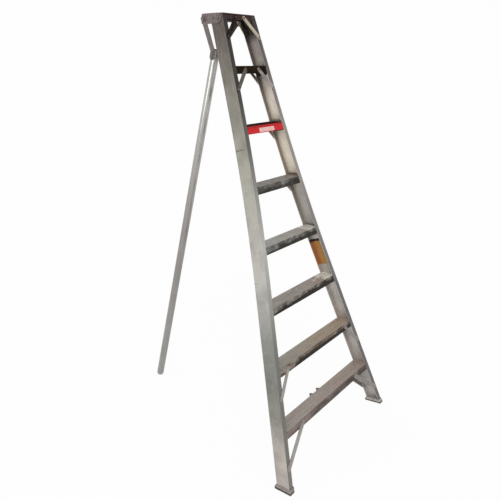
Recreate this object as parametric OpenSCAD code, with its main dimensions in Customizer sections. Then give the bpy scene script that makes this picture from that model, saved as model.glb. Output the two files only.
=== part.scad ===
// Tripod orchard ladder: two bent, flared channel rails with riveted treads,
// and a single pole that swings on a rod behind the top cap.
// Millimetres, +Z up, origin on the floor under the middle of the whole footprint,
// +Y towards the pole.

/* [Ladder] */
// Lean of the rails from the vertical, degrees
lean = 16.56; // [15.5:0.01:18]
// Middle of the lowest tread, measured along the rails from the floor
first_step = 297.8; // [292:0.1:310]
// Distance between treads along the rails
step_pitch = 304.8; // [298:0.1:310]
// Top cap above the highest tread, along the rails
cap_rise = 264; // [255:1:290]

/* [Rails] */
// Half width over the rails at the floor
foot_half_w = 542; // [530:1:556]
// Flare of the lower rail run, degrees
flare = 12.43; // [12:0.01:12.8]
// Flare of the upper rail run, degrees
top_flare = 5.1; // [4.6:0.01:5.6]
// Where the bend starts, along the rails
bend_start = 962; // [930:1:990]
// Radius of the bend at the rail's outer face
bend_radius = 8000; // [7700:10:8300]
// Depth of the rail channel, front to rear
rail_depth = 76.2; // [74:0.1:80]
// Width of the rail flanges
rail_flange = 31.75; // [30:0.05:35]
// Wall of the rail channel
rail_wall = 3; // [2.5:0.1:3.5]

/* [Treads] */
// Wall of the treads and the cap
step_wall = 2.5; // [2:0.1:3]
// Height of the tread flanges, along the rails
step_flange = 39; // [36:0.5:42]
// Height of the cap's flanges, along the rails
cap_flange = 29; // [28:0.5:34]
// Nosing of the tread beyond the rail faces
nosing = 2; // [1:0.1:2.6]
// Height of the nosing
nosing_h = 6; // [4:0.5:7]
// Lip turned inward under each tread flange
step_lip = 6; // [4:0.5:8]
// Height of the ribs along the tread
rib_h = 1.2; // [0.6:0.1:1.6]
// Number of ribs along the tread
rib_count = 7; // [5:1:9]
// Height of the end tabs riveted to the rails
tab_h = 44; // [40:1:50]

/* [Braces] */
// Width of the corner braces
brace_w = 22; // [18:0.5:24]
// Width of the braces at the lowest tread
long_brace_w = 26; // [22:0.5:27]
// Thickness of the braces
brace_t = 3; // [2:0.1:4]
// Reach of the lowest tread's braces along the tread, from the rail's outer face
long_reach = 176; // [165:1:190]
// Drop of the lowest tread's front braces from tread rivet to rail rivet
long_drop = 155; // [145:1:160]
// Reach of the second tread's front braces
second_reach = 97; // [90:1:104]
// Drop of the second tread's front braces
second_drop = 123; // [115:1:130]
// Reach of the front braces at the highest tread and the cap
top_reach = 102; // [94:1:106]
// Drop of the front braces at the highest tread and the cap
top_drop = 97; // [90:1:104]
// Reach of the rear braces at the upper treads
rear_reach = 78; // [72:1:86]
// Drop of the rear braces at the upper treads and the cap
rear_drop = 80; // [72:1:90]
// Reach of the cap's rear braces
cap_rear_reach = 52; // [48:1:58]

/* [Hinge] */
// Distance of the hinge rod behind the rails' middle plane
pivot_back = 78.5; // [74:0.5:84]
// Diameter of the hinge rod
rod_d = 12.7; // [10:0.1:14]
// Length of the hinge plates
plate_len = 127; // [122:1:136]
// Tail of the hinge plates behind the rod
plate_tail = 15; // [14.5:0.5:20]
// Height of the hinge plates
plate_h = 50; // [44:1:54]
// Thickness of the hinge plates
plate_t = 5; // [4:0.5:7]
// Boss of a hinge plate at the rod, beyond the plate's faces
boss_h = 2.5; // [2:0.1:4]
// Thickness of the washers on the rod
washer_t = 1.5; // [1:0.1:2.5]

/* [Pole] */
// Angle of the open pole from the vertical, degrees
pole_angle = 15.45; // [13:0.05:18]
// Diameter of the pole
pole_d = 44.5; // [42:0.1:48]
// Wall of the pole
pole_wall = 2; // [1.6:0.1:3]
// Top end of the pole above the lower bend of the yoke straps
pole_rise = 8; // [2:0.5:12]
// Length of the tip that shows below the pole
tip_len = 26; // [20:1:40]

/* [Yoke] */
// Width of the yoke straps
yoke_w = 31; // [29:0.5:34]
// Thickness of the yoke straps
yoke_t = 5; // [4:0.5:6]
// Straight run of a yoke strap below the rod
yoke_run = 16; // [14:0.5:20]
// Slanted run of the yoke straps towards the pole, along the pole
yoke_drop = 143; // [130:0.5:156]
// Straight run of the yoke straps along the pole
yoke_foot = 44; // [40:1:60]
// Diameter of the yoke bolts
yoke_bolt_d = 8; // [6:0.5:10]

/* [Feet] */
// Thickness of the dark soles
sole_t = 10; // [8:0.5:14]
// Top of the boots above the floor
boot_top = 26; // [25:0.5:36]
// Wall of the boots round the rail
boot_wall = 2.5; // [2:0.1:4]
// Tail of the boots and soles behind the rail
boot_tail = 15; // [10:1:20]

/* [Cradle] */
// Clear width between the cradle's ears
cradle_gap = 70; // [66:1:80]
// Length of the ears behind the tread
cradle_ear = 32; // [26:1:36]
// Height of the cradle
cradle_h = 26; // [22:0.5:27]
// Rise of the cradle's ears above its back
cradle_rise = 4; // [0:0.5:6]
// Wall of the cradle
cradle_t = 3; // [2:0.1:4]

/* [Fasteners] */
// Shank diameter of the rivets
rivet_d = 6.4; // [5:0.1:7]
// Head diameter of the rivets
rivet_head = 11.5; // [10:0.1:12.5]
// Diameter of the hinge plate bolts
plate_bolt_d = 8; // [6:0.5:9]
// Radial clearance of shanks in their holes
fit = 0.05; // [0.03:0.01:0.09]

/* [Hidden] */
$fn = 48;
steps = 7;
over = 400;
seat = 0.15;
run_gap = 0.12;
head_gap = 0.03;
cradle_low = 20.5;
brace_gap = 1.5;
front_braced = [1, 2, steps, steps + 1];
rear_braced = [1, steps - 2, steps - 1, steps, steps + 1];
half = rail_depth / 2;
bend_end = bend_start + bend_radius * (sin(flare) - sin(top_flare));
bend_w1 = foot_half_w - bend_start * tan(flare);
bend_w2 = bend_w1 + bend_radius * (cos(flare) - cos(top_flare));
cap_s = first_step + (steps - 1) * step_pitch + cap_rise;
cap_z = cap_s * cos(lean);
rail_top_z = cap_z - step_wall;
rail_foot_z = sole_t + 3;
pivot_z = cap_z - plate_h / 2;
pivot_y = (pivot_back + pivot_z * sin(lean)) / cos(lean);
pivot_s = pivot_y * sin(lean) + pivot_z * cos(lean);
rod_r = rod_d / 2;
boss_r = rod_r + 7;
plate_in = rail_w(pivot_s);
plate_x = plate_in + plate_t / cos(top_flare);
boss_in = plate_in - boss_h;
boss_x = plate_x + boss_h;
yoke_x = boss_in - washer_t - run_gap - yoke_t;
nut_h = 0.63 * rod_d;
rod_end = boss_x + washer_t + nut_h + 3;
pole_r = pole_d / 2;
pole_flat = pole_r - 0.35;
yoke_in = pole_flat;
yoke_turn = atan2(yoke_x - yoke_in, yoke_drop);
yoke_q2 = yoke_run + yoke_drop;
yoke_q3 = yoke_q2 + yoke_foot;
yoke_bolt_1 = yoke_q2 + 12;
yoke_bolt_2 = yoke_q3 - 12;
pole_top = yoke_q2 - pole_rise;
tip_flat = 1.5;
tip_p = (pivot_z - pole_r + tip_flat) / cos(pole_angle);
tip_y = pivot_y + tip_p * sin(pole_angle);
boot_front = boot_wall + 2.5;
front_y = -half / cos(lean) - boot_front;
rear_y = tip_y + pole_r;
mid_y = (front_y + rear_y) / 2;
rivet_r = rivet_d / 2;
rivet_hh = 2.6;
tab_t = step_wall;
web_rivet_n = 15;
web_rivet_z = -27;
plate_bolt_ns = [-0.13 * rail_depth, 0.26 * rail_depth];
cap_half = rail_w(cap_s + tread_rise(half + nosing)) - seat;

alu = [0.62, 0.60, 0.57];
alu_dark = [0.45, 0.43, 0.42];
alu_light = [0.74, 0.73, 0.71];
steel = [0.42, 0.41, 0.40];
rubber = [0.09, 0.085, 0.08];

// Angle of the rail at a distance along the ladder
function rail_a(s) = s <= bend_start ? flare
    : s >= bend_end ? top_flare
    : asin(sin(flare) - (s - bend_start) / bend_radius);

// Half width over the rails at a distance along the ladder
function rail_w(s) = s <= bend_start ? foot_half_w - s * tan(flare)
    : s >= bend_end ? bend_w2 - (s - bend_end) * tan(top_flare)
    : bend_w1 + bend_radius * (cos(flare) - cos(rail_a(s)));

// Distance of a tread along the rails, the cap counted as the eighth
function step_s(k) = k > steps ? cap_s : first_step + (k - 1) * step_pitch;

// Height above the tread's middle at a distance behind the rails' middle plane
function tread_rise(n) = n * tan(lean);

// Middle of the web rivets of a tread along the rails
function web_rivet_s(k) = step_s(k) + web_rivet_z * cos(rail_a(step_s(k)));

// Treads with a brace, side -1 front and 1 rear
function braced(side) = side < 0 ? front_braced : rear_braced;

// Reach of a brace along its tread
function brace_reach(k, side) = k == 1 ? long_reach
    : side > 0 ? (k > steps ? cap_rear_reach : rear_reach)
    : k == 2 ? second_reach : top_reach;

// Drop of a brace, the lowest tread's front and rear ones ending at one height
function brace_drop(k, side) = k == 1 ? long_drop + (side > 0 ? 2 * tread_rise(half) : 0)
    : side > 0 ? rear_drop
    : k == 2 ? second_drop : top_drop;

// Rivet of a brace on the tread flange
function brace_top(k, side) =
    [rail_w(step_s(k)) - brace_reach(k, side),
        step_s(k) + tread_rise(side * half) - nosing_h / cos(lean) - brace_gap
        - (k == 1 ? long_brace_w : brace_w) / 2];

// Rivet of a brace on the rail flange
function brace_foot(k, side) =
    let (s = brace_top(k, side)[1] - brace_drop(k, side))
    [rail_w(s) - rail_flange / 2, s];

// Points of the channel section, x inward from the web's outer face
function channel_pts(x0, gap) = [
    [x0 - gap, -half - gap], [x0 + rail_flange + gap, -half - gap],
    [x0 + rail_flange + gap, -half + rail_wall + gap], [x0 + rail_wall + gap, -half + rail_wall + gap],
    [x0 + rail_wall + gap, half - rail_wall - gap], [x0 + rail_flange + gap, half - rail_wall - gap],
    [x0 + rail_flange + gap, half + gap], [x0 - gap, half + gap]];

// Frame of the leaning ladder: y behind the rails' middle plane, z along the rails
module ladder_frame() {
    translate([0, -mid_y, 0])
        rotate([-lean, 0, 0])
            children();
}

// Frame on the right rail's outer face: x outward, z up along the rail
module rail_at(s) {
    translate([rail_w(s), 0, s])
        rotate([0, -rail_a(s), 0])
            children();
}

// Frame of the pole: z up along the pole, zero at the rod
module pole_frame() {
    translate([0, pivot_y - mid_y, pivot_z])
        rotate([pole_angle, 0, 0])
            children();
}

module both_sides() {
    children();
    mirror([1, 0, 0])
        children();
}

module rivet(grip, r = rivet_r, head = rivet_head / 2) {
    low = -grip - head_gap;
    rotate_extrude()
        polygon([[0, low - rivet_hh], [head * 0.6, low - rivet_hh], [head, low - rivet_hh * 0.4],
            [head, low], [r, low], [r, head_gap], [head, head_gap], [head, head_gap + rivet_hh * 0.4],
            [head * 0.6, head_gap + rivet_hh], [0, head_gap + rivet_hh]]);
}

// Holes and rivets share these places on the right rail
module web_rivet_places(levels = [1:steps]) {
    for (k = levels)
        for (n = [-web_rivet_n, web_rivet_n])
            ladder_frame()
                rail_at(web_rivet_s(k))
                    translate([0, n, 0])
                        rotate([0, 90, 0])
                            children();
}

module brace_rivet_foot_places(side) {
    for (k = braced(side))
        ladder_frame()
            translate([brace_foot(k, side)[0], side * half, brace_foot(k, side)[1]])
                rotate([-90 * side, 0, 0])
                    children();
}

module brace_rivet_top_place(k, side) {
    ladder_frame()
        translate([brace_top(k, side)[0], side * half, brace_top(k, side)[1]])
            rotate([-90 * side, 0, 0])
                children();
}

module plate_bolt_places() {
    for (n = plate_bolt_ns)
        ladder_frame()
            rail_at(pivot_s)
                translate([0, n, ((pivot_z + n * sin(lean)) / cos(lean) - pivot_s) / cos(top_flare)])
                    rotate([0, 90, 0])
                        children();
}

module boot_rivet_place() {
    ladder_frame()
        rail_at((boot_top + rail_foot_z) / 2 / cos(lean) + 1)
            rotate([0, 90, 0])
                children();
}

module hole(r) {
    cylinder(r = r + fit, h = 60, center = true);
}

// Bent channel, longer than the rail at both ends
module rail_blank(gap = 0) {
    low = bend_start / cos(flare) + 80;
    high = (cap_s - bend_end) / cos(top_flare) + 80;
    ladder_frame() {
        rail_at(bend_start)
            translate([0, 0, -low])
                linear_extrude(height = low)
                    mirror([1, 0])
                        polygon(channel_pts(0, gap));
        translate([bend_w1 + bend_radius * cos(flare), 0, bend_start + bend_radius * sin(flare)])
            rotate([90, 0, 0])
                rotate([0, 0, 180 + top_flare])
                    rotate_extrude(angle = flare - top_flare, $fn = 720)
                        polygon(channel_pts(bend_radius, gap));
        rail_at(bend_end)
            linear_extrude(height = high)
                mirror([1, 0])
                    polygon(channel_pts(0, gap));
    }
}

module rail() {
    difference() {
        rail_blank();
        translate([0, -mid_y - over, rail_foot_z - over])
            cube([foot_half_w + over, 3 * over, over]);
        translate([-over, pivot_y - mid_y - over, rail_top_z])
            cube([3 * over, 2 * over, over]);
        web_rivet_places()
            hole(rivet_r);
        for (side = [-1, 1])
            brace_rivet_foot_places(side)
                translate([0, 0, -rail_wall])
                    cylinder(r = rivet_r + fit, h = 4 * rail_wall, center = true);
        plate_bolt_places()
            hole(plate_bolt_d / 2);
        boot_rivet_place()
            translate([0, 0, -rail_wall])
                cylinder(r = rivet_r + fit, h = 4 * rail_wall, center = true);
    }
}

module right_rail() {
    color(alu)
        rail();
}

module left_rail() {
    color(alu)
        mirror([1, 0, 0])
            rail();
}

// Block between the rails at a tread, its ends parallel to the rails and set in by a distance
module between_rails(k, inset) {
    s = step_s(k);
    a = rail_a(s);
    x = rail_w(s) - inset / cos(a);
    reach = 90;
    ladder_frame()
        rotate([90, 0, 0])
            linear_extrude(height = over, center = true)
                polygon([[-x - reach * tan(a), s - reach], [x + reach * tan(a), s - reach],
                    [x - reach * tan(a), s + reach], [-x + reach * tan(a), s + reach]]);
}

// Distance in front of or behind the tread's middle for a line parallel to the rails
function tread_u(n, v) = (n + v * sin(lean)) / cos(lean);

// Section of a tread: ribbed top, nosings, two flanges with lips
module tread_section(ribbed, flange) {
    edge = half + nosing;
    t2 = edge / cos(lean);
    fv = flange * cos(lean);
    lip = step_lip;
    rib_w = 3;
    rib_pitch = 2 * (t2 - 5) / (rib_count - 1);
    ribs = ribbed ? [for (i = [0:rib_count - 1])
        let (u = -t2 + 5 + i * rib_pitch)
        each [[u - rib_w / 2, 0], [u - rib_w / 2, rib_h], [u + rib_w / 2, rib_h], [u + rib_w / 2, 0]]] : [];
    polygon(concat([[-t2, 0]], ribs, [[t2, 0], [tread_u(edge, -nosing_h), -nosing_h],
        [tread_u(half, -nosing_h), -nosing_h], [tread_u(half, -fv), -fv],
        [tread_u(half, -fv) - step_wall - lip, -fv],
        [tread_u(half, -fv) - step_wall - lip, -fv + step_wall],
        [tread_u(half - step_wall, -fv + step_wall), -fv + step_wall],
        [tread_u(half - step_wall, -step_wall), -step_wall],
        [tread_u(-half + step_wall, -step_wall), -step_wall],
        [tread_u(-half + step_wall, -fv + step_wall), -fv + step_wall],
        [tread_u(-half, -fv) + step_wall + lip, -fv + step_wall],
        [tread_u(-half, -fv) + step_wall + lip, -fv], [tread_u(-half, -fv), -fv],
        [tread_u(-half, -nosing_h), -nosing_h], [tread_u(-edge, -nosing_h), -nosing_h]]));
}

// Carries a section along the width at a tread's height
module across(k, width) {
    s = step_s(k);
    translate([-width / 2, s * sin(lean) - mid_y, s * cos(lean)])
        rotate([90, 0, 90])
            linear_extrude(height = width)
                children();
}

// Turned-down end of a tread against the right rail's web
module end_tab(k) {
    tn = half - rail_wall - 0.6;
    rise = tread_rise(tn) / cos(rail_a(step_s(k)));
    ladder_frame()
        rail_at(web_rivet_s(k))
            translate([-rail_wall - tab_t, 0, -web_rivet_z])
                rotate([90, 0, 90])
                    linear_extrude(height = tab_t)
                        polygon([[-tn, -tab_h - rise], [tn, -tab_h], [tn, rise], [-tn, -rise]]);
}

// Flat strip of the tread's top between two lines parallel to the rails
module tread_slab(n) {
    polygon([[tread_u(-n, 0), 0], [tread_u(n, 0), 0],
        [tread_u(n, -step_wall), -step_wall], [tread_u(-n, -step_wall), -step_wall]]);
}

module tread(k) {
    tn = half - rail_wall - 0.6;
    w = 2 * rail_w(step_s(k)) + over;
    difference() {
        union() {
            intersection() {
                across(k, w)
                    tread_section(k <= steps, k <= steps ? step_flange : cap_flange);
                between_rails(k, rail_flange + 2 * seat);
            }
            if (k <= steps)
                intersection() {
                    across(k, w)
                        tread_slab(tn);
                    between_rails(k, rail_wall + tab_t / 2);
                }
            else
                across(k, 2 * cap_half)
                    tread_slab(half + nosing - 0.5);
            both_sides()
                end_tab(k);
        }
        both_sides() {
            for (side = [-1, 1])
                if (len(search(k, braced(side))) > 0)
                    brace_rivet_top_place(k, side)
                        cylinder(r = rivet_r + fit, h = 5 * step_wall, center = true);
            if (k <= steps) {
                web_rivet_places([k])
                    hole(rivet_r);
            } else {
                plate_bolt_places()
                    hole(plate_bolt_d / 2);
            }
            if (k == 1)
                cradle_rivet_place()
                    cylinder(r = rivet_r + fit, h = 5 * step_wall, center = true);
        }
    }
}

module step_1() {
    color(alu_light)
        tread(1);
}

module step_2() {
    color(alu_light)
        tread(2);
}

module step_3() {
    color(alu_light)
        tread(3);
}

module step_4() {
    color(alu_light)
        tread(4);
}

module step_5() {
    color(alu_light)
        tread(5);
}

module step_6() {
    color(alu_light)
        tread(6);
}

module step_7() {
    color(alu_light)
        tread(7);
}

// The cap's plate runs out over the cut rail ends
module top_cap() {
    color(alu_dark)
        tread(steps + 1);
}

// Flat bar with round ends between two rivets in the rails' front or rear plane
module brace(k, side) {
    p = brace_top(k, side);
    q = brace_foot(k, side);
    w = k == 1 ? long_brace_w : brace_w;
    span = norm(q - p);
    turn = atan2(q[1] - p[1], q[0] - p[0]);
    ladder_frame()
        translate([p[0], side * (half + brace_t / 2), p[1]])
            rotate([90, 0, 0])
                rotate([0, 0, turn])
                    difference() {
                        union() {
                            translate([0, -w / 2, -brace_t / 2])
                                cube([span, w, brace_t]);
                            cylinder(d = w, h = brace_t, center = true);
                            translate([span, 0, 0])
                                cylinder(d = w, h = brace_t, center = true);
                        }
                        for (x = [0, span])
                            translate([x, 0, 0])
                                hole(rivet_r);
                    }
}

module brace_set(k) {
    both_sides()
        for (side = [-1, 1])
            if (len(search(k, braced(side))) > 0)
                brace(k, side);
}

module braces_1() {
    color(alu)
        brace_set(1);
}

module braces_2() {
    color(alu)
        brace_set(2);
}

module braces_5() {
    color(alu)
        brace_set(5);
}

module braces_6() {
    color(alu)
        brace_set(6);
}

module braces_7() {
    color(alu)
        brace_set(7);
}

module cap_braces() {
    color(alu_dark)
        brace_set(steps + 1);
}

module web_rivets_right() {
    color(alu_light)
        web_rivet_places()
            rivet(rail_wall + tab_t);
}

module web_rivets_left() {
    color(alu_light)
        mirror([1, 0, 0])
            web_rivet_places()
                rivet(rail_wall + tab_t);
}

module brace_rivets(side) {
    both_sides() {
        for (k = braced(side))
            brace_rivet_top_place(k, side)
                translate([0, 0, brace_t])
                    rivet(brace_t + step_wall);
        brace_rivet_foot_places(side)
            translate([0, 0, brace_t])
                rivet(brace_t + rail_wall);
    }
}

module brace_rivets_front() {
    color(alu_light)
        brace_rivets(-1);
}

module brace_rivets_rear() {
    color(alu_light)
        brace_rivets(1);
}

// Flared block round the right rail's foot between two heights
module foot_block(z0, z1, tail0, tail1) {
    yr = half / cos(lean);
    reach = 150;
    out = foot_half_w + boot_wall / cos(flare);
    in = foot_half_w - (rail_flange + boot_wall) / cos(flare);
    slope = reach * tan(flare);
    intersection() {
        translate([0, -mid_y, 0])
            rotate([90, 0, 90])
                linear_extrude(height = foot_half_w + over)
                    polygon([[front_y + z0 * tan(lean), z0], [yr + z0 * tan(lean) + tail0, z0],
                        [yr + z1 * tan(lean) + tail1, z1], [front_y + z1 * tan(lean), z1]]);
        ladder_frame()
            rotate([90, 0, 0])
                linear_extrude(height = over, center = true)
                    polygon([[in + slope, -reach], [out + slope, -reach],
                        [out - slope, reach], [in - slope, reach]]);
    }
}

module boot() {
    difference() {
        foot_block(sole_t, boot_top, boot_tail, boot_wall);
        intersection() {
            rail_blank(seat);
            translate([0, -mid_y - over, rail_foot_z])
                cube([foot_half_w + over, 3 * over, over]);
        }
        boot_rivet_place()
            cylinder(r = rivet_r + fit, h = 6 * rail_flange, center = true);
    }
}

module boot_right() {
    color(alu_dark)
        boot();
}

module boot_left() {
    color(alu_dark)
        mirror([1, 0, 0])
            boot();
}

module sole() {
    groove = 2.5;
    difference() {
        foot_block(0, sole_t, boot_tail, boot_tail);
        for (i = [-1:2])
            translate([0, i * 22 - mid_y - groove / 2, 0])
                cube([foot_half_w + over, groove, 3]);
    }
}

module sole_right() {
    color(rubber)
        sole();
}

module sole_left() {
    color(rubber)
        mirror([1, 0, 0])
            sole();
}

module boot_rivets() {
    color(alu_light)
        both_sides()
            boot_rivet_place()
                translate([0, 0, boot_wall])
                    rivet(rail_flange + 2 * boot_wall);
}

// Bar on the rail's web with a boss square to the rod on both faces
module hinge_plate() {
    difference() {
        union() {
            ladder_frame()
                rail_at(pivot_s)
                    translate([0, pivot_back, 0])
                        rotate([lean, 0, 0])
                            plate_bar();
            on_rod(boss_in)
                cylinder(r = boss_r, h = boss_x - boss_in);
        }
        on_rod(0)
            cylinder(r = rod_r + fit, h = 2 * over);
        plate_bolt_places()
            hole(plate_bolt_d / 2);
    }
}

// Bar with a round front end and soft rear corners, zero at the rod
module plate_bar() {
    r = plate_h / 2;
    corner = 0.18 * plate_h;
    front = plate_len - plate_tail - r;
    rotate([0, 90, 0]) {
        translate([0, -front, 0])
            cylinder(r = r, h = plate_t);
        translate([-r, -front, 0])
            cube([plate_h, front + plate_tail - corner, plate_t]);
        translate([-r + corner, -front, 0])
            cube([plate_h - 2 * corner, front + plate_tail, plate_t]);
        for (x = [-r + corner, r - corner])
            translate([x, plate_tail - corner, 0])
                cylinder(r = corner, h = plate_t);
    }
}

module hinge_plate_right() {
    color(alu_dark)
        hinge_plate();
}

module hinge_plate_left() {
    color(alu_dark)
        mirror([1, 0, 0])
            hinge_plate();
}

module plate_bolts() {
    grip = plate_t + rail_wall + tab_t;
    r = plate_bolt_d / 2;
    color(steel)
        both_sides()
            plate_bolt_places() {
                translate([0, 0, plate_t])
                    cylinder(r = 1.7 * r, h = 1.25 * r, $fn = 6);
                translate([0, 0, plate_t - grip - 2.25 * r])
                    cylinder(r = r, h = grip + 2.35 * r);
            }
}

module plate_nuts() {
    r = plate_bolt_d / 2;
    color(steel)
        both_sides()
            plate_bolt_places()
                translate([0, 0, -rail_wall - tab_t - 1.6 * r])
                    difference() {
                        cylinder(r = 1.7 * r, h = 1.6 * r, $fn = 6);
                        translate([0, 0, -r])
                            cylinder(r = r + fit, h = 4 * r);
                    }
}

module on_rod(x) {
    translate([x, pivot_y - mid_y, pivot_z])
        rotate([0, 90, 0])
            children();
}

module hinge_rod() {
    color(steel)
        on_rod(-rod_end)
            cylinder(r = rod_r, h = 2 * rod_end);
}

module washer() {
    difference() {
        cylinder(r = boss_r - 0.5, h = washer_t);
        translate([0, 0, -1])
            cylinder(r = rod_r + fit, h = washer_t + 2);
    }
}

module hinge_washers() {
    color(steel)
        both_sides() {
            on_rod(boss_x)
                washer();
            on_rod(boss_in - washer_t)
                washer();
        }
}

module hinge_nuts() {
    color(steel)
        both_sides()
            on_rod(boss_x + washer_t)
                difference() {
                    cylinder(r = rod_r * 1.75, h = nut_h, $fn = 6);
                    translate([0, 0, -1])
                        cylinder(r = rod_r + fit, h = nut_h + 2);
                }
}

module cradle_rivet_place() {
    ladder_frame()
        translate([cradle_gap / 4, half, step_s(1) + tread_rise(half) - cradle_low])
            rotate([-90, 0, 0])
                children();
}

// Back plate on the lowest tread's rear flange and two ears with round corners
module pole_cradle() {
    x = cradle_gap / 2;
    s0 = step_s(1) + tread_rise(half) - cradle_low - cradle_h / 2;
    r = cradle_h / 6;
    tip = cradle_t + cradle_ear;
    top = cradle_h + cradle_rise;
    color(alu)
        difference() {
            ladder_frame() {
                translate([-x - cradle_t, half, s0])
                    cube([2 * x + 2 * cradle_t, cradle_t, cradle_h]);
                both_sides()
                    translate([x, half, s0]) {
                        cube([cradle_t, tip - r, cradle_h]);
                        translate([0, cradle_t + 1, 0])
                            cube([cradle_t, tip - cradle_t - 1 - r, top]);
                        translate([0, cradle_t + 1, r])
                            cube([cradle_t, tip - cradle_t - 1, top - 2 * r]);
                        for (z = [r, top - r])
                            translate([0, tip - r, z])
                                rotate([0, 90, 0])
                                    cylinder(r = r, h = cradle_t);
                    }
            }
            both_sides()
                cradle_rivet_place()
                    hole(rivet_r);
        }
}

module cradle_rivets() {
    color(alu_light)
        both_sides()
            cradle_rivet_place()
                translate([0, 0, cradle_t])
                    rivet(cradle_t + step_wall);
}

module along_x(z) {
    translate([0, 0, z])
        rotate([0, 90, 0])
            children();
}

// Round tube with small flats for the straps at its top end
module tripod_pole() {
    foot = tip_p - tip_len;
    color(alu)
        pole_frame()
            difference() {
                translate([0, 0, -foot])
                    cylinder(r = pole_r, h = foot - pole_top);
                translate([0, 0, -foot - 1])
                    cylinder(r = pole_r - pole_wall, h = foot - pole_top + 2);
                both_sides()
                    translate([pole_flat, -pole_r, -yoke_q3 - 6])
                        cube([pole_r, pole_d, yoke_q3]);
                for (p = [yoke_bolt_1, yoke_bolt_2])
                    along_x(-p)
                        cylinder(r = yoke_bolt_d / 2 + fit, h = 2 * pole_d, center = true);
            }
}

module pole_plug() {
    color(rubber)
        pole_frame() {
            translate([0, 0, -pole_top - 8])
                cylinder(r = pole_r - pole_wall - seat / 2, h = 9);
            translate([0, 0, -pole_top])
                cylinder(r = pole_r - 0.6, h = 2);
        }
}

// Rounded tip, worn flat where it meets the floor
module pole_tip() {
    color(alu)
        difference() {
            pole_frame() {
                translate([0, 0, -tip_p])
                    cylinder(r = pole_r, h = tip_len);
                translate([0, 0, -tip_p])
                    sphere(r = pole_r);
                translate([0, 0, -tip_p])
                    cylinder(r = pole_r - pole_wall - seat / 2, h = tip_len + 40);
            }
            translate([-over, tip_y - mid_y - over, -over])
                cube([2 * over, 2 * over, over]);
        }
}

// Flat bar bent inwards from the rod to the pole's side
module yoke_strap() {
    r = yoke_w / 2;
    m = yoke_t * tan(yoke_turn / 2);
    pole_frame()
        difference() {
            intersection() {
                rotate([90, 0, 0])
                    linear_extrude(height = 2 * yoke_w, center = true)
                        polygon([[yoke_x, 2 * r], [yoke_x, -yoke_run], [yoke_in, -yoke_q2],
                            [yoke_in, -yoke_q3], [yoke_in + yoke_t, -yoke_q3],
                            [yoke_in + yoke_t, -yoke_q2 - m], [yoke_x + yoke_t, -yoke_run - m],
                            [yoke_x + yoke_t, 2 * r]]);
                union() {
                    rotate([0, 90, 0])
                        cylinder(r = r, h = over);
                    translate([0, -r, -yoke_q3 + r])
                        cube([over, yoke_w, yoke_q3 - r]);
                    along_x(-yoke_q3 + r)
                        cylinder(r = r, h = over);
                }
            }
            rotate([0, 90, 0])
                cylinder(r = rod_r + fit, h = over);
            for (p = [yoke_bolt_1, yoke_bolt_2])
                along_x(-p)
                    cylinder(r = yoke_bolt_d / 2 + fit, h = 2 * pole_d);
        }
}

module yoke_strap_right() {
    color(steel)
        yoke_strap();
}

module yoke_strap_left() {
    color(steel)
        mirror([1, 0, 0])
            yoke_strap();
}

module yoke_bolts() {
    x = yoke_in + yoke_t;
    color(steel)
        pole_frame()
            for (p = [yoke_bolt_1, yoke_bolt_2]) {
                translate([-x - 5, 0, 0])
                    along_x(-p)
                        cylinder(r = 0.85 * yoke_bolt_d, h = 5, $fn = 6);
                translate([-x - 0.5, 0, 0])
                    along_x(-p)
                        cylinder(r = yoke_bolt_d / 2, h = 2 * x + 9.5);
            }
}

module yoke_nuts() {
    x = yoke_in + yoke_t;
    color(steel)
        pole_frame()
            for (p = [yoke_bolt_1, yoke_bolt_2])
                translate([x, 0, 0])
                    along_x(-p)
                        difference() {
                            cylinder(r = 0.85 * yoke_bolt_d, h = 6.5, $fn = 6);
                            translate([0, 0, -1])
                                cylinder(r = yoke_bolt_d / 2 + fit, h = 9);
                        }
}

left_rail();
right_rail();
step_1();
step_2();
step_3();
step_4();
step_5();
step_6();
step_7();
top_cap();
braces_1();
braces_2();
braces_5();
braces_6();
braces_7();
cap_braces();
web_rivets_left();
web_rivets_right();
brace_rivets_front();
brace_rivets_rear();
boot_left();
boot_right();
sole_left();
sole_right();
boot_rivets();
hinge_plate_left();
hinge_plate_right();
plate_bolts();
plate_nuts();
hinge_rod();
hinge_washers();
hinge_nuts();
pole_cradle();
cradle_rivets();
tripod_pole();
pole_plug();
pole_tip();
yoke_strap_left();
yoke_strap_right();
yoke_bolts();
yoke_nuts();
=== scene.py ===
"""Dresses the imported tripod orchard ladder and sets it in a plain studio.

Lengths are in metres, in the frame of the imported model: +Z up, +Y from the treads
towards the pole, origin on the floor under the middle of the footprint.
"""

import logging
import math
from dataclasses import dataclass, field, replace
from enum import Enum
from typing import Iterable, Optional, Sequence

import bmesh
import bpy
from mathutils import Matrix, Vector


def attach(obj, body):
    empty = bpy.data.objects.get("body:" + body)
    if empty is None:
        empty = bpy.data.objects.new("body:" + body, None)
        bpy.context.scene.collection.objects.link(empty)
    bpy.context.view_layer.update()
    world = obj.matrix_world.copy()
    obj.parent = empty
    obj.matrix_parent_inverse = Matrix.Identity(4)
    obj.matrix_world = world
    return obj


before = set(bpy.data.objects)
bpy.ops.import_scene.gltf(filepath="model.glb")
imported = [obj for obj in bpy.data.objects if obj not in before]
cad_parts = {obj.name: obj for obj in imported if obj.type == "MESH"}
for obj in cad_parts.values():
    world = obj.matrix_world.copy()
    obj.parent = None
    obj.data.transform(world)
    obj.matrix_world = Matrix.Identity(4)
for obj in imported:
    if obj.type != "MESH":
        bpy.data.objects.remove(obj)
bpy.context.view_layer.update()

log = logging.getLogger("ladder")

Rgb = tuple[float, float, float]
Point = tuple[float, float, float]
Run = tuple[tuple[float, Rgb], ...]
Socket = bpy.types.NodeSocket


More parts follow.
